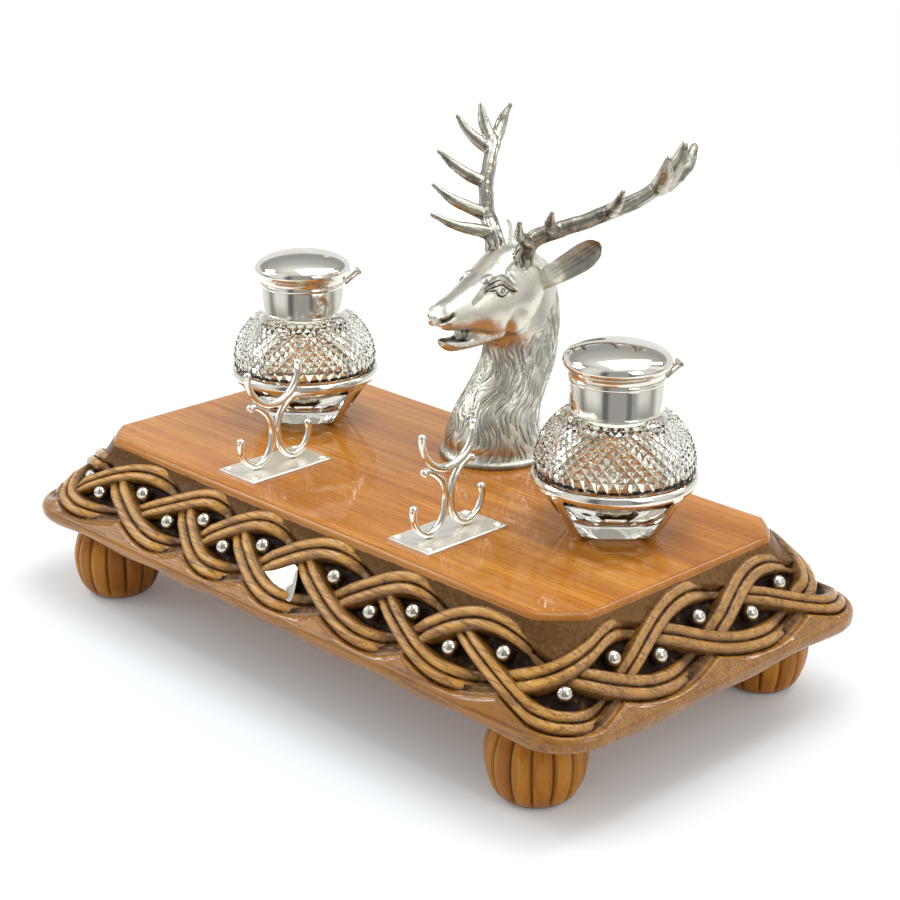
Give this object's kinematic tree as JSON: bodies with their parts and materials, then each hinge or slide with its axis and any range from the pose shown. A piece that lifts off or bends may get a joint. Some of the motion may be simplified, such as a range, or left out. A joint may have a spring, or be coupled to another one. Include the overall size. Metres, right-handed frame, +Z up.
{
  "type": "desk inkstand",
  "caption": "Carved oak desk inkstand on lobed feet, with hinged-lid cut-glass ink bottles in silver galleries, scrolled pen rests and a stag's head.",
  "frame": {"origin": "on the surface the feet stand on, at the middle of the whole footprint, which the antlers' overhang at the back moves 9.8 mm behind the plinth's own centre", "axes": "+Z up, +X along the long side to the right, -Y to the front, where the stag looks"},
  "size_m": [0.38, 0.2236, 0.2383],
  "materials": {
    "oak": "varnished, glossy field, carved border with dark recesses",
    "dowel_wood": "plain sanded",
    "cut_glass": "clear, slightly green, diamond cut",
    "polished_silver": "polished silver plate",
    "hammered_silver": "bright, lightly hammered silver plate",
    "satin_silver": "satin chased silver, darker in the recesses",
    "brass": "plain brass",
    "steel": "plain steel"
  },
  "bodies": {
    "stand": {"plinth": "oak", "foot_front_left": "oak", "foot_front_right": "oak", "foot_back_left": "oak", "foot_back_right": "oak", "foot_dowels": "dowel_wood", "border_pins_front": "polished_silver", "border_pins_right": "polished_silver", "border_pins_back": "polished_silver", "border_pins_left": "polished_silver", "plaque": "polished_silver", "rest_plate_left": "hammered_silver", "rest_plate_right": "hammered_silver", "rest_scrolls_left": "hammered_silver", "rest_scrolls_right": "hammered_silver", "rest_fork_left": "hammered_silver", "rest_fork_right": "hammered_silver", "rest_tacks": "hammered_silver", "gallery_ring_left": "polished_silver", "gallery_ring_right": "polished_silver", "gallery_straps_left": "polished_silver", "gallery_straps_right": "polished_silver", "gallery_screws": "brass", "stag_bust": "satin_silver", "stag_ear_left": "satin_silver", "stag_ear_right": "satin_silver", "antler_left": "satin_silver", "antler_right": "satin_silver", "stag_stud": "steel", "stag_washer": "brass", "stag_nut": "brass"},
    "bottle_left": {"glass_left": "cut_glass", "collar_left": "polished_silver", "hinge_pin_left": "polished_silver"},
    "lid_left": {"lid_left": "polished_silver"},
    "bottle_right": {"glass_right": "cut_glass", "collar_right": "polished_silver", "hinge_pin_right": "polished_silver"},
    "lid_right": {"lid_right": "polished_silver"}
  },
  "joints": [
    {"name": "bottle_lift_left", "type": "slide", "parent": "stand", "child": "bottle_left", "axis": [0, 0, 1], "range_m": [0, 0.1]},
    {"name": "lid_hinge_left", "type": "hinge", "parent": "bottle_left", "child": "lid_left", "pos_m": [-0.09015, 0.03071, 0.157], "axis": [-0.8387, 0.5446, 0], "range_deg": [0, 105]},
    {"name": "bottle_lift_right", "type": "slide", "parent": "stand", "child": "bottle_right", "axis": [0, 0, 1], "range_m": [0, 0.1]},
    {"name": "lid_hinge_right", "type": "hinge", "parent": "bottle_right", "child": "lid_right", "pos_m": [0.12065, 0.03071, 0.157], "axis": [-0.8387, 0.5446, 0], "range_deg": [0, 105]}
  ]
}
